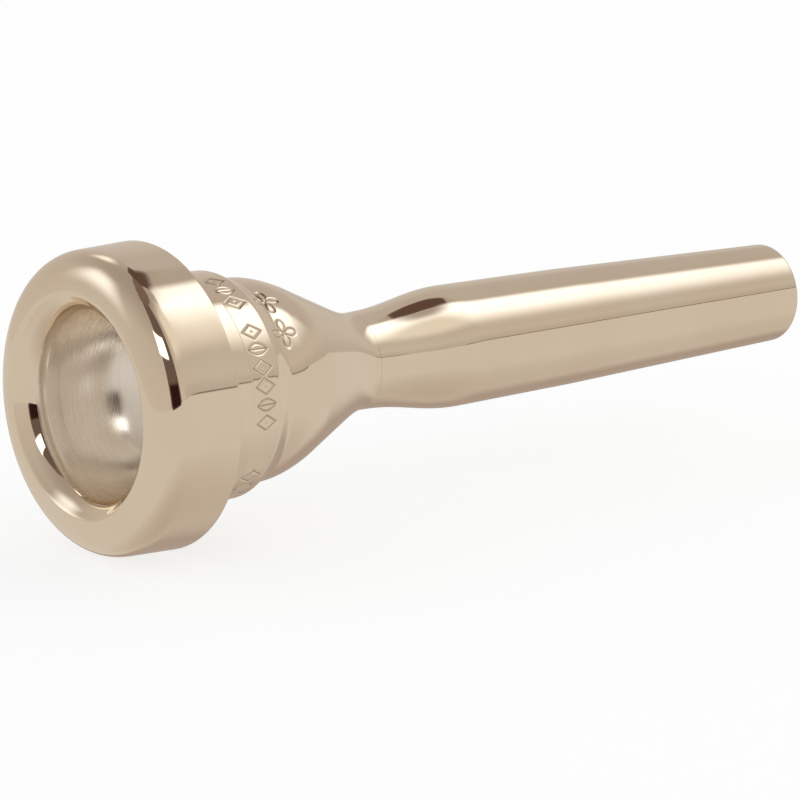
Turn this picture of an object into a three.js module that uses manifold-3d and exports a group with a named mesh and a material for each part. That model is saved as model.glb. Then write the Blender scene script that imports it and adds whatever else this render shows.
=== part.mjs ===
// Trumpet mouthpiece with a screw-on rim and a screw-in shank, in millimetres.
// The bore runs along X. The rim faces -X, the shank points to +X, and the origin is at mid-length
// on the bore axis.
import * as THREE from 'three';
import { mergeVertices } from 'three/addons/utils/BufferGeometryUtils.js';
import Module from 'manifold-3d';

const wasm = await Module();
wasm.setup();

// A station is a distance along the bore from the front of the rim. Every radius is from the bore axis.
// Handles are the control points of the curve that they are named after, in the order of the outline.
const LENGTH = 85;
const GAP = 0.3; // running gap between two pieces that meet

// Rim
const PEAK_RADIUS = 10.2; // highest circle of the rim, the one at station 0
const BITE = { radius: 8.4, station: 2.2 }; // inner edge of the rim
const BITE_HANDLE = { radius: 8.95, station: 0.45 };
const SHOULDER = { radius: 13.7, station: 2.7 }; // where the face becomes the side
const FACE_HANDLES = [{ radius: 11.8, station: 0 }, { radius: 13.6, station: 0.7 }];
const REAR_CORNER = { radius: 13.95, station: 7.8 };
const CORNER_CHAMFER = 0.2;
const RIM_STEP_STATION = 3.6; // inner step that the spigot of the cup comes up to
const RIM_STEP_RADIUS = 8.42;

// Cup, outside
const NECK_RADIUS = 10.7;
const BAND = { front: 11.6, rear: 14.8, frontRadius: 10.6, rearRadius: 10.45 };
const BAND_STEP = 0.12; // chamfer between the neck and the band
const BAND_ROUND = { length: 0.3, drop: 0.15 }; // rounded rear edge of the band
const DOME = { radius: 9.45, station: 17 };
const DOME_RUN_IN = 0.5;
const DOME_HANDLES = [{ radius: 9.45, station: 19.2 }, { radius: 9.02, station: 20.6 }];
const CONE_START = { radius: 8.32, station: 22 };
const CONE_END = { radius: 6.4, station: 26 };
const WAIST = { radius: 4.58, station: 31 }; // where the cup ends and the shank begins
const WAIST_HANDLES = [{ radius: 5.4, station: 28.1 }, { radius: 4.6, station: 29.6 }];

// Bore
const BOWL_RADIUS = 8.37; // at the mouth of the spigot
const BOWL_HANDLES = [{ radius: 6.6, station: 10.2 }, { radius: 8.2, station: 7.8 }];
const BOWL_FLOOR = { radius: 3.9, station: 10.8 };
const THROAT = { radius: 1.83, station: 13.8 };
const THROAT_HANDLE = { radius: 1.93, station: 11.24 };
const BACKBORE_START = 36;
const BACKBORE_MOUTH_RADIUS = 4.15;
const BACKBORE_HANDLES = [{ radius: 2.6, station: 48 }, { radius: 3.75, station: 66 }];

// Shank
const WIDEST = { radius: 5.82, station: 42.6 };
const FLARE_HANDLES = [{ radius: 4.58, station: 34.2 }, { radius: 5.8, station: 38.5 }];
const TAPER_LENGTH = 27.75; // the part that seats in the receiver of the instrument
const TAPER_PER_MM = 0.026; // loss of radius for each millimetre of length
const SHANK_END_RADIUS = 4.94;
const END_ROUND = 0.25;

// Threads, right-handed. Each crest clears the facing crest, so the pieces also slide straight apart.
const RIM_THREAD = { pitch: 0.9, outerMinor: 9.35, outerCrest: 9.8, innerCrest: 10.1, innerMajor: 10.5 };
const SHANK_THREAD = { pitch: 0.9, outerMinor: 2.5, outerCrest: 2.9, innerCrest: 3.2, innerMajor: 3.6 };
const SOCKET_FLOOR = 22.7;
const THREAD_RELIEF = 0.5; // plain length at each end of a thread
const CREST_FLAT = 0.12;
const RIDGE_SLOPE = 0.5; // half-width of a thread ridge gained for each millimetre of its height
const RIDGE_ROOT = 0.12; // how far a ridge is sunk into the wall that carries it

const BODY_FACETS = 40; // facets around the rim, the bowl and the outside
const BORE_FACETS = 20; // facets around the stud, its socket and the backbore
const CURVE_STEPS = 5; // facets along each curve of an outline
const FADE_STEPS = 3; // facets over which a thread rises from its wall
const OVERRUN = 1; // how far a cutting shape runs past the face it cuts through

// Turns an outline (x = radius, y = station) about the Y axis. Its outer side runs towards +Y.
function turned(outline, facets) {
  return toSolid(new THREE.LatheGeometry(outline.getPoints(CURVE_STEPS), facets));
}

// Carries an outline on along a cubic curve.
function curveTo(outline, [first, second], end) {
  outline.bezierCurveTo(
    first.radius, first.station,
    second.radius, second.station,
    end.radius, end.station,
  );
}

// Carries an outline on along a curve with one handle.
function bendTo(outline, handle, end) {
  outline.quadraticCurveTo(handle.radius, handle.station, end.radius, end.station);
}

// One helical ridge, which fades into its wall at both ends.
function threadRidge({ wallRadius, crestRadius, start, end, pitch, facets }) {
  const outward = Math.sign(crestRadius - wallRadius);
  const baseRadius = wallRadius - outward * RIDGE_ROOT;
  const height = Math.abs(crestRadius - baseRadius);
  const flat = CREST_FLAT / 2;
  const base = flat + height * RIDGE_SLOPE;
  const section = new THREE.Path();
  section.moveTo(baseRadius, -base);
  if (outward > 0) {
    section.lineTo(crestRadius, -flat);
    section.lineTo(crestRadius, flat);
    section.lineTo(baseRadius, base);
  } else {
    section.lineTo(baseRadius, base);
    section.lineTo(crestRadius, flat);
    section.lineTo(crestRadius, -flat);
  }
  section.closePath();
  const points = section.getPoints();
  const steps = Math.floor(((end - start) / pitch) * facets);
  const sweep = (steps / facets) * 2 * Math.PI;
  const ridge = new THREE.LatheGeometry(points, steps, 0, sweep);
  const position = ridge.attributes.position;
  for (let step = 0; step <= steps; step += 1) {
    const fade = Math.min(1, step / FADE_STEPS, (steps - step) / FADE_STEPS);
    const angle = (step / facets) * 2 * Math.PI;
    const station = start + (pitch * step) / facets;
    points.forEach((point, index) => {
      const radius = baseRadius + (point.x - baseRadius) * fade;
      position.setXYZ(
        step * points.length + index,
        radius * Math.sin(angle),
        station + point.y * fade,
        radius * Math.cos(angle),
      );
    });
  }
  return toSolid(ridge);
}

function toSolid(geometry) {
  geometry.deleteAttribute('normal');
  geometry.deleteAttribute('uv');
  const merged = mergeVertices(geometry);
  const index = merged.index.array;
  const triangles = [];
  for (let i = 0; i < index.length; i += 3) {
    const [a, b, c] = [index[i], index[i + 1], index[i + 2]];
    if (a !== b && b !== c && c !== a) triangles.push(a, b, c);
  }
  return new wasm.Manifold(new wasm.Mesh({
    numProp: 3,
    vertProperties: new Float32Array(merged.attributes.position.array),
    triVerts: new Uint32Array(triangles),
  }));
}

function toGeometry(solid) {
  const mesh = solid.getMesh();
  const geometry = new THREE.BufferGeometry();
  geometry.setAttribute('position', new THREE.BufferAttribute(mesh.vertProperties, 3));
  geometry.setIndex(new THREE.BufferAttribute(mesh.triVerts, 1));
  geometry.computeVertexNormals();
  return geometry;
}

// The ring that the lips rest on, with a threaded bore behind its inner step.
function rimOutline() {
  const outline = new THREE.Path();
  outline.moveTo(BITE.radius, BITE.station);
  bendTo(outline, BITE_HANDLE, { radius: PEAK_RADIUS, station: 0 });
  curveTo(outline, FACE_HANDLES, SHOULDER);
  outline.lineTo(REAR_CORNER.radius, REAR_CORNER.station - CORNER_CHAMFER);
  outline.lineTo(REAR_CORNER.radius - CORNER_CHAMFER, REAR_CORNER.station);
  outline.lineTo(RIM_THREAD.innerMajor, REAR_CORNER.station);
  outline.lineTo(RIM_THREAD.innerMajor, RIM_STEP_STATION);
  outline.lineTo(RIM_STEP_RADIUS, RIM_STEP_STATION);
  outline.closePath();
  return outline;
}

function makeRim() {
  const thread = threadRidge({
    wallRadius: RIM_THREAD.innerMajor,
    crestRadius: RIM_THREAD.innerCrest,
    start: RIM_STEP_STATION + THREAD_RELIEF,
    end: REAR_CORNER.station - THREAD_RELIEF,
    pitch: RIM_THREAD.pitch,
    facets: BODY_FACETS,
  });
  return turned(rimOutline(), BODY_FACETS).add(thread);
}

// The bowl and its throat, the band and the dome outside, a spigot for the rim and a socket for the shank.
function cupOutline() {
  const spigotFront = RIM_STEP_STATION + GAP;
  const shoulder = REAR_CORNER.station + GAP;
  const cupEnd = WAIST.station - GAP / 2;
  const outline = new THREE.Path();
  outline.moveTo(THROAT.radius, cupEnd);
  outline.lineTo(THROAT.radius, THROAT.station);
  bendTo(outline, THROAT_HANDLE, BOWL_FLOOR);
  curveTo(outline, BOWL_HANDLES, { radius: BOWL_RADIUS, station: spigotFront });
  outline.lineTo(RIM_THREAD.outerMinor - CORNER_CHAMFER, spigotFront);
  outline.lineTo(RIM_THREAD.outerMinor, spigotFront + CORNER_CHAMFER);
  outline.lineTo(RIM_THREAD.outerMinor, shoulder);
  outline.lineTo(NECK_RADIUS, shoulder);
  outline.lineTo(NECK_RADIUS, BAND.front);
  outline.lineTo(BAND.frontRadius, BAND.front + BAND_STEP);
  outline.lineTo(BAND.rearRadius, BAND.rear - BAND_ROUND.length);
  bendTo(
    outline,
    { radius: BAND.rearRadius, station: BAND.rear },
    { radius: BAND.rearRadius - BAND_ROUND.drop, station: BAND.rear + BAND_ROUND.length },
  );
  bendTo(outline, { radius: DOME.radius, station: DOME.station - DOME_RUN_IN }, DOME);
  curveTo(outline, DOME_HANDLES, CONE_START);
  outline.lineTo(CONE_END.radius, CONE_END.station);
  curveTo(outline, WAIST_HANDLES, { radius: WAIST.radius, station: cupEnd });
  outline.closePath();
  return outline;
}

function socketOutline() {
  const outline = new THREE.Path();
  outline.moveTo(0, SOCKET_FLOOR);
  outline.lineTo(SHANK_THREAD.innerMajor, SOCKET_FLOOR);
  outline.lineTo(SHANK_THREAD.innerMajor, WAIST.station + OVERRUN);
  outline.lineTo(0, WAIST.station + OVERRUN);
  return outline;
}

function makeCup() {
  const spigotThread = threadRidge({
    wallRadius: RIM_THREAD.outerMinor,
    crestRadius: RIM_THREAD.outerCrest,
    start: RIM_STEP_STATION + GAP + THREAD_RELIEF,
    end: REAR_CORNER.station + GAP - THREAD_RELIEF,
    pitch: RIM_THREAD.pitch,
    facets: BODY_FACETS,
  });
  const socketThread = threadRidge({
    wallRadius: SHANK_THREAD.innerMajor,
    crestRadius: SHANK_THREAD.innerCrest,
    start: SOCKET_FLOOR + THREAD_RELIEF,
    end: WAIST.station - GAP / 2 - THREAD_RELIEF,
    pitch: SHANK_THREAD.pitch,
    facets: BORE_FACETS,
  });
  return turned(cupOutline(), BODY_FACETS)
    .subtract(turned(socketOutline(), BORE_FACETS))
    .add(spigotThread)
    .add(socketThread);
}

// The flare from the waist, the widest part, and the taper that seats in the instrument.
function shankOutline() {
  const shankFront = WAIST.station + GAP / 2;
  const seatRadius = SHANK_END_RADIUS + TAPER_LENGTH * TAPER_PER_MM;
  const outline = new THREE.Path();
  outline.moveTo(0, shankFront);
  outline.lineTo(WAIST.radius, shankFront);
  curveTo(outline, FLARE_HANDLES, WIDEST);
  outline.lineTo(seatRadius, LENGTH - END_ROUND - TAPER_LENGTH);
  outline.lineTo(SHANK_END_RADIUS, LENGTH - END_ROUND);
  outline.quadraticCurveTo(SHANK_END_RADIUS, LENGTH, SHANK_END_RADIUS - END_ROUND, LENGTH);
  outline.lineTo(0, LENGTH);
  return outline;
}

function studOutline() {
  const studFront = SOCKET_FLOOR + GAP;
  const studRear = WAIST.station + OVERRUN;
  const outline = new THREE.Path();
  outline.moveTo(0, studFront);
  outline.lineTo(SHANK_THREAD.outerMinor - CORNER_CHAMFER, studFront);
  outline.lineTo(SHANK_THREAD.outerMinor, studFront + CORNER_CHAMFER);
  outline.lineTo(SHANK_THREAD.outerMinor, studRear);
  outline.lineTo(0, studRear);
  return outline;
}

// The bore of the shank: as wide as the throat through the stud, then opening towards the end.
function backboreOutline() {
  const outline = new THREE.Path();
  outline.moveTo(0, SOCKET_FLOOR - OVERRUN);
  outline.lineTo(THROAT.radius, SOCKET_FLOOR - OVERRUN);
  outline.lineTo(THROAT.radius, BACKBORE_START);
  curveTo(outline, BACKBORE_HANDLES, { radius: BACKBORE_MOUTH_RADIUS, station: LENGTH });
  outline.lineTo(BACKBORE_MOUTH_RADIUS, LENGTH + OVERRUN);
  outline.lineTo(0, LENGTH + OVERRUN);
  return outline;
}

function makeShank() {
  const thread = threadRidge({
    wallRadius: SHANK_THREAD.outerMinor,
    crestRadius: SHANK_THREAD.outerCrest,
    start: SOCKET_FLOOR + GAP + THREAD_RELIEF,
    end: WAIST.station + GAP / 2 - THREAD_RELIEF,
    pitch: SHANK_THREAD.pitch,
    facets: BORE_FACETS,
  });
  return turned(shankOutline(), BODY_FACETS)
    .add(turned(studOutline(), BORE_FACETS))
    .add(thread)
    .subtract(turned(backboreOutline(), BORE_FACETS));
}

function addPiece(group, name, solid, finish) {
  const geometry = toGeometry(solid);
  geometry.rotateZ(-Math.PI / 2);
  const mesh = new THREE.Mesh(geometry, new THREE.MeshStandardMaterial(finish));
  mesh.name = name;
  mesh.position.x = -LENGTH / 2;
  group.add(mesh);
}

const mouthpiece = new THREE.Group();
addPiece(mouthpiece, 'rim', makeRim(), { color: 0xd6c4a2, roughness: 0.06, metalness: 1 });
addPiece(mouthpiece, 'cup', makeCup(), { color: 0xd2bf9c, roughness: 0.08, metalness: 1 });
addPiece(mouthpiece, 'backbore_shank', makeShank(), { color: 0xd0bc98, roughness: 0.07, metalness: 1 });

export default mouthpiece;
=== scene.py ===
import math

import bpy
import numpy as np
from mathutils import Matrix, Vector


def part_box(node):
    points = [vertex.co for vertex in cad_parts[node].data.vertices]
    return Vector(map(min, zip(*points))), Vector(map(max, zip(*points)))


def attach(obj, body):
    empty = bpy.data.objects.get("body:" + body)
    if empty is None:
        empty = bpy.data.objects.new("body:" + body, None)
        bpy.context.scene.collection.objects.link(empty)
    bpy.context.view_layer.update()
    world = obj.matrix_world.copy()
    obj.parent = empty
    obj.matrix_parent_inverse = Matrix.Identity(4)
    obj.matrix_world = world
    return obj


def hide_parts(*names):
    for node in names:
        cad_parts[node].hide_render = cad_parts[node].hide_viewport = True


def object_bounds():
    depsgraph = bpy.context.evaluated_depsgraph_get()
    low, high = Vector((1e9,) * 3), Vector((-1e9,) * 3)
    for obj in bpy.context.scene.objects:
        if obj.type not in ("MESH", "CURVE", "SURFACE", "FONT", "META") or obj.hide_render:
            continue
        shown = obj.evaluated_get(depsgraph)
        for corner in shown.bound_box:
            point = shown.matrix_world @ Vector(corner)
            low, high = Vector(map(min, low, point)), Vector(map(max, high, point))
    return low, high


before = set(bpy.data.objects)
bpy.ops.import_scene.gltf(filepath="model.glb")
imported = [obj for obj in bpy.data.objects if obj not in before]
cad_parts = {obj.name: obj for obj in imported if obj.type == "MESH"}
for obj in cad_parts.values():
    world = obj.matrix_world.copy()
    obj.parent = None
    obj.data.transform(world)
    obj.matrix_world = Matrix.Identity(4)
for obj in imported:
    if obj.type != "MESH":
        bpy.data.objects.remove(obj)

CAD_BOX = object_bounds()

MM = 0.001
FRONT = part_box("rim")[0].x / MM
RIM_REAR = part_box("rim")[1].x / MM - FRONT
RIM_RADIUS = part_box("rim")[1].z / MM
SPIGOT_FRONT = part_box("cup")[0].x / MM - FRONT
CUP_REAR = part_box("cup")[1].x / MM - FRONT
STUD_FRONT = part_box("backbore_shank")[0].x / MM - FRONT
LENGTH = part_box("backbore_shank")[1].x / MM - FRONT

# Camera and studio, in metres and degrees. Azimuth 0 is the -Y side, 90 is the +X side.
CAMERA_AZIMUTH = -40.15
CAMERA_ELEVATION = 11.63
CAMERA_DISTANCE = 0.3538
CAMERA_TARGET = Vector((-0.0056, 0, -0.0045))
LENS = 167.4
STUDIO_UP = Vector((-0.115, 0.12, 1)).normalized()


def direction(azimuth, elevation):
    """The unit vector that points from the object to that azimuth and elevation."""
    a, e = math.radians(azimuth), math.radians(elevation)
    return Vector((math.cos(e) * math.sin(a), -math.cos(e) * math.cos(a), math.sin(e)))


STUDIO_TURN = STUDIO_UP.rotation_difference(Vector((0, 0, 1))).inverted()


def make_camera():
    data = bpy.data.cameras.new("camera")
    data.lens = LENS
    data.clip_start = 0.01
    camera = bpy.data.objects.new("camera", data)
    camera.location = direction(CAMERA_AZIMUTH, CAMERA_ELEVATION) * CAMERA_DISTANCE
    camera.rotation_euler = (CAMERA_TARGET - camera.location).to_track_quat("-Z", "Y").to_euler()
    bpy.context.scene.collection.objects.link(camera)
    bpy.context.scene.camera = camera


make_camera()

# ---------------------------------------------------------------- outlines

SEAM = 0.012
CAD_GAP = 0.3

# Rim
BITE_RADIUS = 8.36
BITE_ROUND = 2.6
BITE_POLISH = 66
BITE_SLOPE = 36
PEAK = (0, 10.2)
PEAK_HANDLES = ((0.22, 9.82), (0, 10.0))
SHOULDER = (2.7, 13.76)
SHOULDER_HANDLES = ((0, 11.8), (0.7, 13.66))


# Cup
BOWL_MOUTH_RADIUS = 8.37
BOWL_HANDLES = ((10.2, 6.6), (7.8, 8.2))
BOWL_FLOOR = (10.8, 3.9)
THROAT = (13.8, 1.83)
THROAT_HANDLE = (11.24, 1.93)
NECK_RADIUS = 10.7
BAND_FRONT = (11.6, 10.6)
BAND_REAR = (14.8, 10.45)
BAND_CHAMFER = 0.12
BAND_RUN_OUT = 0.4
DOME = (17.0, 9.45)
DOME_RUN_IN = ((15.9, 9.9), (16.5, 9.45))
DOME_REAR = (19.0, 9.3)
DOME_HANDLES = ((17.7, 9.45), (18.4, 9.42))
CONE_FRONT = (22.0, 8.32)
CONE_HANDLES = ((19.9, 9.12), (20.8, 8.83))
CONE_REAR = (26.0, 6.4)
WAIST_RADIUS = 4.58
WAIST_HANDLES = ((28.1, 5.4), (29.6, 4.6))
WAIST = CUP_REAR + CAD_GAP / 2
SOCKET_FLOOR = 22.7

# Shank
FLARE = (42.6, 5.82)
FLARE_HANDLES = ((36.2, WAIST_RADIUS), (38.4, 5.84))
SEAT = (LENGTH - 28, 5.66)
TAPER_END = (LENGTH - 1, 4.966)
END_RADIUS = 4.94
BACKBORE_START = (36, THROAT[1])
BACKBORE_HANDLES = ((66, 3.75), (48, 2.6))
BACKBORE_MOUTH_RADIUS = 4.15
MOUTH_RUN_IN = 0.4

# Threads: the wall and the crest of each, the pitch, the plain stretch at each end, the distance between
# rings, and the ridge's foot and flank as shares of half the pitch
RIM_THREAD = (10.5, 10.1)
SPIGOT_THREAD = (9.35, 9.8)
SOCKET_THREAD = (3.6, 3.2)
STUD_THREAD = (2.5, 2.9)
PITCH = 0.9
RUN_OUT = 0.4
THREAD_STEP = 0.09
RIDGE_FOOT = 0.86
RIDGE_FLANK = 0.62

# Rounded edges
HAIR_EDGE = 0.012
FINE_EDGE = 0.05
SMALL_EDGE = 0.1
SOFT_EDGE = 0.2
EDGE_RINGS = 5
EDGE_SUPPORT = 0.3

# How finely each stretch is divided: rings in a curve, or the distance between rings in a straight line
POLISH_RINGS = 10
BITE_RINGS = 14
PEAK_RINGS = 14
SHOULDER_RINGS = 30
THROAT_RINGS = 16
BOWL_RINGS = 30
DOME_RINGS = 26
CONE_RINGS = 12
WAIST_RINGS = 24
BACKBORE_RINGS = 40
FLARE_RINGS = 36
PLAIN_STEP = 1.0
BORE_STEP = 0.3
CONE_STEP = 0.5
SEAT_STEP = 1.2
TAPER_STEP = 1.5
ENGRAVED_STEP = 0.065

MIRROR, SATIN, THREADED = 0, 1, 2


class Outline:
    """A closed outline as (station, radius, finish, density, relief) rings."""

    def __init__(self, station, radius):
        self.rings = []
        self.here = (station, radius)
        self.finish = MIRROR
        self.density = None
        self.relief = None

    def add(self, station, radius):
        self.here = (station, radius)
        self.rings.append((station, radius, self.finish, self.density, self.relief))

    def start(self):
        self.add(*self.here)

    def line(self, station, radius, step=PLAIN_STEP):
        s, r = self.here
        count = max(1, math.ceil(math.hypot(station - s, radius - r) / step))
        for i in range(1, count + 1):
            t = i / count
            self.add(s + (station - s) * t, r + (radius - r) * t)

    def curve(self, a, b, end, count):
        """A cubic curve with handles a and b."""
        p0, p1, p2, p3 = (np.array(p, float) for p in (self.here, a, b, end))
        for i in range(1, count + 1):
            t = i / count
            u = 1 - t
            self.add(*(u**3 * p0 + 3 * u * u * t * p1 + 3 * u * t * t * p2 + t**3 * p3))

    def bend(self, corner, end, count):
        """A quadratic curve that leaves towards corner and arrives from it."""
        p0, p1, p2 = (np.array(p, float) for p in (self.here, corner, end))
        for i in range(1, count + 1):
            t = i / count
            self.add(*((1 - t) ** 2 * p0 + 2 * t * (1 - t) * p1 + t * t * p2))

    def arc(self, station, radius, size, start, end, count):
        """Part of a circle about that point. At 0 degrees the surface faces the front, and at 90 the bore."""
        for i in range(1, count + 1):
            angle = math.radians(start + (end - start) * i / count)
            self.add(station - size * math.cos(angle), radius - size * math.sin(angle))

    def corner(self, station, radius, towards, size):
        """A straight line to a corner whose edge is rounded by size, on the way to the point towards."""
        tip = np.array((station, radius), float)
        back = np.array(self.here) - tip
        ahead = np.array(towards, float) - tip
        back /= np.linalg.norm(back)
        ahead /= np.linalg.norm(ahead)
        support = EDGE_SUPPORT * size
        self.line(*(tip + back * (size + support)))
        self.add(*(tip + back * size))
        self.bend(tip, tip + ahead * size, EDGE_RINGS)
        self.add(*(tip + ahead * (size + support)))


SEGMENTS = 192


def turned(name, outline, materials):
    """Turns a closed outline about the bore. A ring with a density has that many steps in each segment, and a
    relief moves its points in or out of the turned surface."""
    points, cells, finishes, marks = [], [], [], []
    base = np.arange(SEGMENTS + 1) * 2 * math.pi / SEGMENTS
    plain = np.ones(SEGMENTS, int)
    for station, radius, finish, density, relief in outline.rings:
        steps = plain if density is None else density
        first = len(points)
        starts = np.concatenate(([0], np.cumsum(steps)))
        spans = [np.linspace(base[k], base[k + 1], n, endpoint=False) for k, n in enumerate(steps)]
        angles = np.concatenate(spans)
        lift = relief(station, angles) if relief else np.zeros(len(angles))
        r = radius + lift
        x = np.full(len(angles), FRONT + station)
        points.extend(np.stack([x, r * np.cos(angles), r * np.sin(angles)], 1) * MM)
        marks.extend(np.clip(-lift, 0, None))
        total = len(angles)
        cells.append([[first + (starts[k] + i) % total for i in range(n + 1)] for k, n in enumerate(steps)])
        finishes.append(finish)
    faces, slots = [], []
    for i, row in enumerate(cells):
        following = cells[(i + 1) % len(cells)]
        slot = finishes[(i + 1) % len(cells)]
        for a, b in zip(row, following):
            if len(a) == len(b):
                new = [(a[j], a[j + 1], b[j + 1], b[j]) for j in range(len(a) - 1)]
            else:
                new = [tuple(a + b[::-1])]
            faces.extend(new)
            slots.extend([slot] * len(new))
    mesh = bpy.data.meshes.new(name)
    mesh.from_pydata([tuple(p) for p in points], [], faces)
    mesh.polygons.foreach_set("use_smooth", [True] * len(faces))
    mesh.polygons.foreach_set("material_index", slots)
    # Each point's depth in an engraved groove, the mask for the painted shade in the grooves.
    mesh.attributes.new("engraved", "FLOAT", "POINT").data.foreach_set("value", np.array(marks, np.float32))
    for material in materials:
        mesh.materials.append(material)
    mesh.update()
    piece = bpy.data.objects.new(name, mesh)
    bpy.context.scene.collection.objects.link(piece)
    return piece


def thread(start, end, height):
    """A right-handed helical ridge of that height between two stations, fading out over half a turn at each
    end."""

    def relief(station, angles):
        turns = (station - start) / PITCH - angles / (2 * math.pi)
        phase = np.abs((turns % 1) - 0.5) * 2
        ridge = np.clip((RIDGE_FOOT - phase) / RIDGE_FLANK, 0, 1)
        along = np.clip(np.minimum(station - start, end - station) / (0.5 * PITCH), 0, 1)
        return height * ridge * along

    return relief


# ---------------------------------------------------------------- engraving

GROOVE = 0.15
GROOVE_DEPTH = 0.09
GROOVE_SHARPNESS = 1.3
MARK_STATION = 13.1
MARK_LENGTH = 1.05
MARK_WIDTH = 0.72
LEAF_WIDTH = 0.52
FIRST_MARK = 106
MARK_SPACING = 9.1
GROUP_SPACING = 114
GROUPS = 2
GROUP = (0, 1, 2, 4, 5, 6, 7, 8, 9)
FLOWER_STATION = 17.3
FLOWER_SIZE = 1.35
FLOWERS = (121, 143)
MARK_REACH = 5.2
FLOWER_REACH = 9.5
FINE_STEPS = 5


def mark_angles():
    return [FIRST_MARK + GROUP_SPACING * g + MARK_SPACING * i for g in range(GROUPS) for i in GROUP]


def groove(distance):
    """The relief of an engraved stroke at a distance from its middle."""
    return -GROOVE_DEPTH * np.clip(1 - distance / GROOVE, 0, 1) ** GROOVE_SHARPNESS


def around(angles, centre, radius):
    """Signed distance around the surface from a centre angle in degrees."""
    turn = (angles - math.radians(centre) + math.pi) % (2 * math.pi) - math.pi
    return turn * radius


def lozenge(a, t):
    outline = np.abs(np.abs(a) / MARK_LENGTH + np.abs(t) / MARK_WIDTH - 1)
    edge = outline / math.hypot(1 / MARK_LENGTH, 1 / MARK_WIDTH)
    return np.minimum(edge, np.hypot(a, t))


def leaf(a, t):
    """A pointed leaf with a vein along it."""
    width = LEAF_WIDTH * (1 - (a / MARK_LENGTH) ** 2)
    if width < 0:
        return np.hypot(t, abs(a) - MARK_LENGTH)
    slope = 2 * LEAF_WIDTH * a / MARK_LENGTH**2
    edge = np.abs(np.abs(t) - width) / math.hypot(1, slope)
    return np.minimum(edge, np.abs(t))


def band_relief(station, angles):
    total = np.zeros(len(angles))
    for number, centre in enumerate(mark_angles()):
        shape = leaf if number % 3 == 1 else lozenge
        distance = shape(station - MARK_STATION, around(angles, centre, BAND_FRONT[1]))
        total = np.minimum(total, groove(distance))
    return total


def flower(a, t):
    """Four petals."""
    r = np.hypot(a, t)
    turn = np.arctan2(t, a)
    petal = FLOWER_SIZE * np.abs(np.cos(2 * turn))
    slope = 2 * FLOWER_SIZE * np.abs(np.sin(2 * turn)) / np.maximum(r, 0.05)
    return np.abs(r - petal) / np.hypot(1, slope)


def flower_relief(station, angles):
    total = np.zeros(len(angles))
    for centre in FLOWERS:
        distance = flower(station - FLOWER_STATION, around(angles, centre, DOME[1]))
        total = np.minimum(total, groove(distance))
    return total


def fine_near(centres, reach, steps):
    """The density of a ring that is fine within reach degrees of each centre."""
    middles = (np.arange(SEGMENTS) + 0.5) * 360 / SEGMENTS
    away = np.min([np.abs((middles - c + 180) % 360 - 180) for c in centres], axis=0)
    return np.where(away < reach, steps, 1)


# ---------------------------------------------------------------- materials

NOISE_DETAIL = 3.0
TONE_SCALE = 90
GLOSS_SCALE = 140
LINE_SCALE = 9000
LINE_GLOSS = (0.7, 1.3)
MIRROR_LINES = 2e-7
SATIN_LINES = 1e-6
# Painted shade in the engraved grooves: how much of it a groove's bottom gets, and its colour.
GROOVE_SHADE_SHARE = 0.8
GROOVE_SHADE_COLOUR = (0.17, 0.115, 0.07, 1)
CHAMPAGNE = (0.885, 0.78, 0.63, 1)
CHAMPAGNE_DEEP = (0.86, 0.74, 0.59, 1)
PALE = (0.915, 0.865, 0.795, 1)
PALE_DEEP = (0.895, 0.84, 0.76, 1)


def nodes_of(name):
    material = bpy.data.materials.new(name)
    material.use_nodes = True
    tree = material.node_tree
    return material, tree, tree.nodes["Principled BSDF"]


def new_node(tree, kind, **inputs):
    node = tree.nodes.new(kind)
    for key, value in inputs.items():
        node.inputs[key.replace("_", " ")].default_value = value
    return node


def ramp(tree, factor, low, high, start, end):
    """Maps a factor between start and end to a value between low and high."""
    node = tree.nodes.new("ShaderNodeMapRange")
    node.inputs["From Min"].default_value = start
    node.inputs["From Max"].default_value = end
    node.inputs["To Min"].default_value = low
    node.inputs["To Max"].default_value = high
    tree.links.new(factor, node.inputs["Value"])
    return node.outputs["Result"]


def mixed(tree, factor, first, second):
    """Mixes two colours, each given as a value or a socket."""
    node = tree.nodes.new("ShaderNodeMix")
    node.data_type = "RGBA"
    for socket, value in ((node.inputs[6], first), (node.inputs[7], second)):
        if isinstance(value, tuple):
            socket.default_value = value
        else:
            tree.links.new(value, socket)
    tree.links.new(factor, node.inputs[0])
    return node.outputs[2]


def turning_lines(tree, scale):
    """Noise that changes only along the bore and away from it, as the marks of turning and polishing do."""
    place = tree.nodes.new("ShaderNodeTexCoord")
    split = tree.nodes.new("ShaderNodeSeparateXYZ")
    tree.links.new(place.outputs["Object"], split.inputs[0])
    flat = tree.nodes.new("ShaderNodeCombineXYZ")
    tree.links.new(split.outputs["Y"], flat.inputs["X"])
    tree.links.new(split.outputs["Z"], flat.inputs["Y"])
    radius = tree.nodes.new("ShaderNodeVectorMath")
    radius.operation = "LENGTH"
    tree.links.new(flat.outputs[0], radius.inputs[0])
    both = tree.nodes.new("ShaderNodeCombineXYZ")
    tree.links.new(split.outputs["X"], both.inputs["X"])
    tree.links.new(radius.outputs["Value"], both.inputs["Y"])
    noise = new_node(tree, "ShaderNodeTexNoise", Scale=scale, Detail=NOISE_DETAIL)
    tree.links.new(both.outputs[0], noise.inputs["Vector"])
    return noise.outputs["Fac"]


def cloud(tree, scale):
    place = tree.nodes.new("ShaderNodeTexCoord")
    noise = new_node(tree, "ShaderNodeTexNoise", Scale=scale, Detail=NOISE_DETAIL)
    tree.links.new(place.outputs["Object"], noise.inputs["Vector"])
    return noise.outputs["Fac"]


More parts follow.
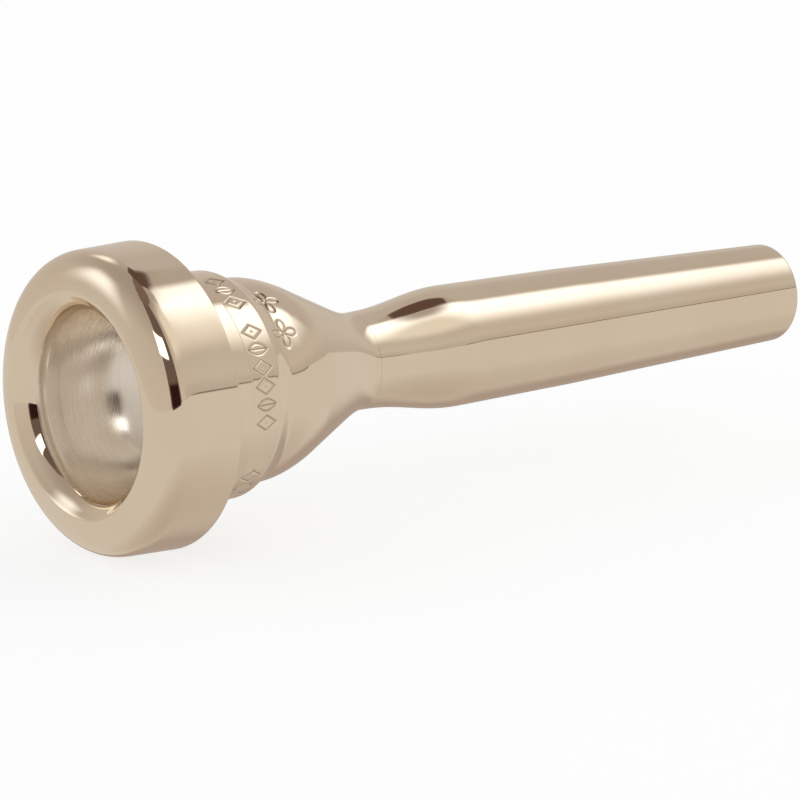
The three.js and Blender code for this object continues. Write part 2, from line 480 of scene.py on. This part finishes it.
def plated(name, light, deep, smooth, rough, line_depth):
    """Plated brass: soft changes of tone and gloss, fine lines round the bore, and painted shade that darkens
    the engraved grooves, the more the deeper they are.
    """
    material, tree, shader = nodes_of(name)
    link = tree.links.new
    tone = mixed(tree, ramp(tree, cloud(tree, TONE_SCALE), 0, 1, 0.35, 0.65), light, deep)
    engraved = tree.nodes.new("ShaderNodeAttribute")
    engraved.attribute_name = "engraved"
    # Painted shade: the deeper a point lies in an engraved groove, the more of the dark groove colour it
    # gets.
    dark = ramp(tree, engraved.outputs["Fac"], 0, GROOVE_SHADE_SHARE, 0.3 * GROOVE_DEPTH, GROOVE_DEPTH)
    link(mixed(tree, dark, tone, GROOVE_SHADE_COLOUR), shader.inputs["Base Color"])
    lines = turning_lines(tree, LINE_SCALE)
    gloss = tree.nodes.new("ShaderNodeMath")
    gloss.operation = "MULTIPLY"
    link(ramp(tree, cloud(tree, GLOSS_SCALE), smooth, rough, 0.3, 0.7), gloss.inputs[0])
    link(ramp(tree, lines, *LINE_GLOSS, 0.3, 0.7), gloss.inputs[1])
    link(gloss.outputs[0], shader.inputs["Roughness"])
    bump = new_node(tree, "ShaderNodeBump", Strength=1.0, Distance=line_depth)
    link(lines, bump.inputs["Height"])
    link(bump.outputs[0], shader.inputs["Normal"])
    shader.inputs["Metallic"].default_value = 1.0
    return material


FINISHES = (
    plated("mirror_plate", CHAMPAGNE, CHAMPAGNE_DEEP, 0.035, 0.06, MIRROR_LINES),
    plated("satin_plate", PALE, PALE_DEEP, 0.2, 0.29, SATIN_LINES),
    plated("threaded_plate", CHAMPAGNE, CHAMPAGNE_DEEP, 0.2, 0.3, SATIN_LINES),
)

# ---------------------------------------------------------------- pieces


def threaded_wall(o, end, crest):
    """A threaded stretch from the outline's last point to the station end, plain at both ends."""
    start, wall = o.here
    low, high = sorted((start, end))
    o.relief = thread(low + RUN_OUT, high - RUN_OUT, crest - wall)
    o.line(end, wall, step=THREAD_STEP)
    o.relief = None


def rim_outline():
    step = SPIGOT_FRONT - SEAM
    wall, crest = RIM_THREAD
    bite = (BITE_ROUND, BITE_RADIUS + BITE_ROUND, BITE_ROUND)
    o = Outline(BITE_ROUND, BITE_RADIUS)
    o.finish = SATIN
    o.start()
    o.arc(*bite, 90, BITE_POLISH, POLISH_RINGS)
    o.finish = MIRROR
    o.arc(*bite, BITE_POLISH, BITE_SLOPE, BITE_RINGS)
    o.curve(*PEAK_HANDLES, PEAK, PEAK_RINGS)
    o.curve(*SHOULDER_HANDLES, SHOULDER, SHOULDER_RINGS)
    o.corner(RIM_REAR, RIM_RADIUS, (RIM_REAR, wall), SOFT_EDGE)
    o.corner(RIM_REAR, wall, (step, wall), SMALL_EDGE)
    o.finish = THREADED
    threaded_wall(o, step + SMALL_EDGE, crest)
    o.corner(step, wall, (step, BOWL_MOUTH_RADIUS), FINE_EDGE)
    o.finish = SATIN
    o.corner(step, BOWL_MOUTH_RADIUS, (BITE_ROUND, BITE_RADIUS), HAIR_EDGE)
    o.line(BITE_ROUND + FINE_EDGE, BITE_RADIUS, step=BORE_STEP)
    return o


def cup_inside(o):
    """The socket for the shank, the throat and the bowl."""
    wall, crest = SOCKET_THREAD
    o.finish = THREADED
    o.start()
    threaded_wall(o, SOCKET_FLOOR + SMALL_EDGE, crest)
    o.corner(SOCKET_FLOOR, wall, (SOCKET_FLOOR, THROAT[1]), FINE_EDGE)
    o.corner(SOCKET_FLOOR, THROAT[1], THROAT, FINE_EDGE)
    o.finish = SATIN
    o.line(*THROAT)
    o.bend(THROAT_HANDLE, BOWL_FLOOR, THROAT_RINGS)
    o.curve(*BOWL_HANDLES, (SPIGOT_FRONT + SMALL_EDGE, BOWL_MOUTH_RADIUS), BOWL_RINGS)


def cup_spigot(o, shoulder):
    """The threaded front that the rim screws on to."""
    wall, crest = SPIGOT_THREAD
    o.corner(SPIGOT_FRONT, BOWL_MOUTH_RADIUS, (SPIGOT_FRONT, wall), HAIR_EDGE)
    o.finish = THREADED
    o.corner(SPIGOT_FRONT, wall, (shoulder, wall), SMALL_EDGE)
    threaded_wall(o, shoulder - SMALL_EDGE, crest)
    o.corner(shoulder, wall, (shoulder, NECK_RADIUS), FINE_EDGE)


def cup_outside(o, shoulder, rear):
    """The neck, the engraved band and dome, and the cone down to the waist."""
    band_start = (BAND_FRONT[0] + BAND_CHAMFER, BAND_FRONT[1])
    o.finish = MIRROR
    o.corner(shoulder, NECK_RADIUS, (BAND_FRONT[0], NECK_RADIUS), FINE_EDGE)
    o.corner(BAND_FRONT[0], NECK_RADIUS, band_start, FINE_EDGE / 2)
    o.corner(*band_start, BAND_REAR, FINE_EDGE / 2)
    o.density = fine_near(mark_angles(), MARK_REACH, FINE_STEPS)
    o.relief = band_relief
    o.line(BAND_REAR[0] - BAND_RUN_OUT, BAND_REAR[1], step=ENGRAVED_STEP)
    o.density = None
    o.relief = None
    o.corner(*BAND_REAR, DOME_RUN_IN[0], SOFT_EDGE)
    o.density = fine_near(FLOWERS, FLOWER_REACH, FINE_STEPS)
    o.relief = flower_relief
    o.curve(*DOME_RUN_IN, DOME, DOME_RINGS)
    o.curve(*DOME_HANDLES, DOME_REAR, DOME_RINGS)
    o.density = None
    o.relief = None
    o.curve(*CONE_HANDLES, CONE_FRONT, CONE_RINGS)
    o.line(*CONE_REAR, step=CONE_STEP)
    o.curve(*WAIST_HANDLES, (rear - SMALL_EDGE, WAIST_RADIUS), WAIST_RINGS)


def cup_outline():
    shoulder = RIM_REAR + SEAM
    rear = WAIST - SEAM / 2
    wall = SOCKET_THREAD[0]
    o = Outline(rear - 2 * SMALL_EDGE, wall)
    cup_inside(o)
    cup_spigot(o, shoulder)
    cup_outside(o, shoulder, rear)
    o.corner(rear, WAIST_RADIUS, (rear, wall), HAIR_EDGE)
    o.corner(rear, wall, (SOCKET_FLOOR, wall), FINE_EDGE)
    return o


def shank_outline():
    front = WAIST + SEAM / 2
    wall, crest = STUD_THREAD
    o = Outline(LENGTH - MOUTH_RUN_IN, BACKBORE_MOUTH_RADIUS)
    o.finish = SATIN
    o.start()
    o.curve(*BACKBORE_HANDLES, BACKBORE_START, BACKBORE_RINGS)
    o.corner(STUD_FRONT, THROAT[1], (STUD_FRONT, wall), FINE_EDGE)
    o.finish = THREADED
    o.corner(STUD_FRONT, wall, (front, wall), SMALL_EDGE)
    threaded_wall(o, front - SMALL_EDGE, crest)
    o.corner(front, wall, (front, WAIST_RADIUS), FINE_EDGE)
    o.finish = MIRROR
    o.corner(front, WAIST_RADIUS, FLARE_HANDLES[0], HAIR_EDGE)
    o.curve(*FLARE_HANDLES, FLARE, FLARE_RINGS)
    o.line(*SEAT, step=SEAT_STEP)
    o.line(*TAPER_END, step=TAPER_STEP)
    o.corner(LENGTH, END_RADIUS, (LENGTH, BACKBORE_MOUTH_RADIUS), SOFT_EDGE)
    o.corner(LENGTH, BACKBORE_MOUTH_RADIUS, (LENGTH - 1, BACKBORE_MOUTH_RADIUS), SMALL_EDGE)
    return o


PIECES = (
    ("screw_rim", "rim", "rim", rim_outline()),
    ("engraved_cup", "cup", "cup", cup_outline()),
    ("turned_shank", "shank", "backbore_shank", shank_outline()),
)
for name, body, node, outline in PIECES:
    piece = turned(name, outline, FINISHES)
    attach(piece, body)
    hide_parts(node)

# ---------------------------------------------------------------- studio

DEEP = (0.54, 0.475, 0.42)
BELOW = (0.685, 0.64, 0.585)
ABOVE = (0.64, 0.585, 0.53)
HIGH = (0.575, 0.52, 0.47)
OVERHEAD = (0.40, 0.345, 0.31)
WORLD_STOPS = ((0.2, BELOW), (0.497, BELOW), (0.503, ABOVE), (0.75, HIGH))
CARD_STEPS = 40
FLOOR_REACH = 4.0
FLOOR_COLOUR = (0.86, 0.86, 0.86, 1)
FLOOR_GLOW = (0.86, 0.94, 1, 1)
FLOOR_GLOW_STRENGTH = 0.62
FLOOR_ROUGHNESS = 0.9


def glowing(name, colour, strength):
    """A card's material: even light, clear where the card fades out."""
    material = bpy.data.materials.new(name)
    material.use_nodes = True
    tree = material.node_tree
    tree.nodes.clear()
    out = tree.nodes.new("ShaderNodeOutputMaterial")
    light = new_node(tree, "ShaderNodeEmission", Color=(*colour, 1), Strength=strength)
    clear = tree.nodes.new("ShaderNodeBsdfTransparent")
    mix = tree.nodes.new("ShaderNodeMixShader")
    solid = tree.nodes.new("ShaderNodeAttribute")
    solid.attribute_name = "solid"
    tree.links.new(solid.outputs["Fac"], mix.inputs[0])
    tree.links.new(clear.outputs[0], mix.inputs[1])
    tree.links.new(light.outputs[0], mix.inputs[2])
    tree.links.new(mix.outputs[0], out.inputs["Surface"])
    return material


def eased(t):
    """Runs from 0 to 1 with a soft start and end."""
    t = min(max(t, 0.0), 1.0)
    return t * t * (3 - 2 * t)


def card(name, azimuths, elevations, colour, strength, soft, radius, droop=0):
    """A curved card that fills a range of azimuths and elevations, seen only by reflection. It fades out over
    soft degrees at its two sides, its foot and its top, and sinks by the droop away from its first side."""
    points, solid, faces = [], [], []
    width, height = azimuths[1] - azimuths[0], elevations[1] - elevations[0]
    for i in range(CARD_STEPS + 1):
        for j in range(CARD_STEPS + 1):
            a, e = width * i / CARD_STEPS, height * j / CARD_STEPS
            elevation = elevations[0] + e - droop * a * a
            points.append(STUDIO_TURN @ direction(azimuths[0] + a, elevation) * radius)
            sides = eased(a / soft[0]) * eased((width - a) / soft[1])
            solid.append(sides * eased(e / soft[2]) * eased((height - e) / soft[3]))
    for i in range(CARD_STEPS):
        for j in range(CARD_STEPS):
            first = i * (CARD_STEPS + 1) + j
            second = first + CARD_STEPS + 1
            faces.append((first, first + 1, second + 1, second))
    mesh = bpy.data.meshes.new(name)
    mesh.from_pydata([tuple(p) for p in points], [], faces)
    mesh.attributes.new("solid", "FLOAT", "POINT").data.foreach_set("value", np.array(solid, np.float32))
    mesh.materials.append(glowing(name, colour, strength))
    piece = bpy.data.objects.new(name, mesh)
    piece.visible_camera = False
    piece.visible_diffuse = False
    piece.visible_shadow = False
    bpy.context.scene.collection.objects.link(piece)


card("photographer", (-53, -9), (0, 74), (0.15, 0.108, 0.088), 1.0, (1.5, 1.5, 0.5, 3), 1.1)
card("camera_body", (-50, -12), (-0.5, 16), (0.03, 0.01, 0.01), 1.0, (4, 4, 0.5, 3), 1.05)
card("light_by_camera", (-59, -24), (30, 46), (1.0, 0.98, 0.94), 2.0, (2, 2, 1, 1), 0.95)
card("main_light", (40, 95), (15, 60), (0.97, 0.98, 1.0), 1.6, (26, 12, 26, 9), 0.95)
card("wide_light", (-4, 62), (22, 70), (1.0, 0.94, 0.84), 0.86, (20, 10, 14, 16), 1.0)
card("left_light", (-156, -110), (12, 60), (0.98, 0.98, 0.97), 1.25, (20, 20, 22, 22), 0.95)
card("back_light", (136, 172), (37, 64), (1.0, 0.98, 0.93), 1.2, (16, 16, 13, 13), 0.95)
card("ceiling", (-60, 118), (70, 89), (0.2, 0.14, 0.115), 1.0, (4, 4, 3, 1), 1.1)
card("beam", (86, 126), (53.6, 77), (0.12, 0.072, 0.056), 1.0, (1, 2, 1, 1), 3.0, droop=0.0071)
card("far_wall", (4, 140), (0, 11), (0.55, 0.495, 0.45), 1.0, (8, 8, 0.5, 9), 1.15)
card("side_wall", (88, 134), (12, 51), (0.54, 0.488, 0.449), 1.0, (3, 8, 9, 3), 1.14)
card("table_shadow", (94, 170), (-66, -6), (0.44, 0.365, 0.32), 1.0, (26, 8, 22, 8), 1.1)
card("horizon", (24, 62), (-0.3, 0.9), (0.2, 0.15, 0.11), 1.0, (6, 6, 0.3, 0.3), 1.12)


def make_world():
    """A pale room that is lighter below the horizon and darkens towards straight up and straight down."""
    world = bpy.data.worlds.new("studio")
    world.use_nodes = True
    tree = world.node_tree
    place = tree.nodes.new("ShaderNodeTexCoord")
    height = tree.nodes.new("ShaderNodeVectorMath")
    height.operation = "DOT_PRODUCT"
    height.inputs[1].default_value = STUDIO_UP
    tree.links.new(place.outputs["Generated"], height.inputs[0])
    shades = tree.nodes.new("ShaderNodeValToRGB")
    stops = shades.color_ramp.elements
    stops[0].position, stops[0].color = 0.0, (*DEEP, 1)
    stops[1].position, stops[1].color = 1.0, (*OVERHEAD, 1)
    for position, colour in WORLD_STOPS:
        stops.new(position).color = (*colour, 1)
    tree.links.new(ramp(tree, height.outputs["Value"], 0, 1, -1, 1), shades.inputs["Fac"])
    tree.links.new(shades.outputs["Color"], tree.nodes["Background"].inputs["Color"])
    bpy.context.scene.world = world


def make_floor():
    mesh = bpy.data.meshes.new("floor")
    corners = ((-1, -1), (1, -1), (1, 1), (-1, 1))
    points = [(x * FLOOR_REACH, y * FLOOR_REACH, CAD_BOX[0].z) for x, y in corners]
    mesh.from_pydata(points, [], [(0, 1, 2, 3)])
    material, tree, shader = nodes_of("white_floor")
    shader.inputs["Base Color"].default_value = FLOOR_COLOUR
    shader.inputs["Roughness"].default_value = FLOOR_ROUGHNESS
    shader.inputs["Emission Color"].default_value = FLOOR_GLOW
    shader.inputs["Emission Strength"].default_value = FLOOR_GLOW_STRENGTH
    mesh.materials.append(material)
    floor = bpy.data.objects.new("floor", mesh)
    bpy.context.scene.collection.objects.link(floor)
    floor.visible_glossy = False


make_world()
make_floor()
bpy.context.scene.view_settings.view_transform = "Standard"
bpy.context.scene.cycles.max_bounces = 24
bpy.context.scene.cycles.glossy_bounces = 20
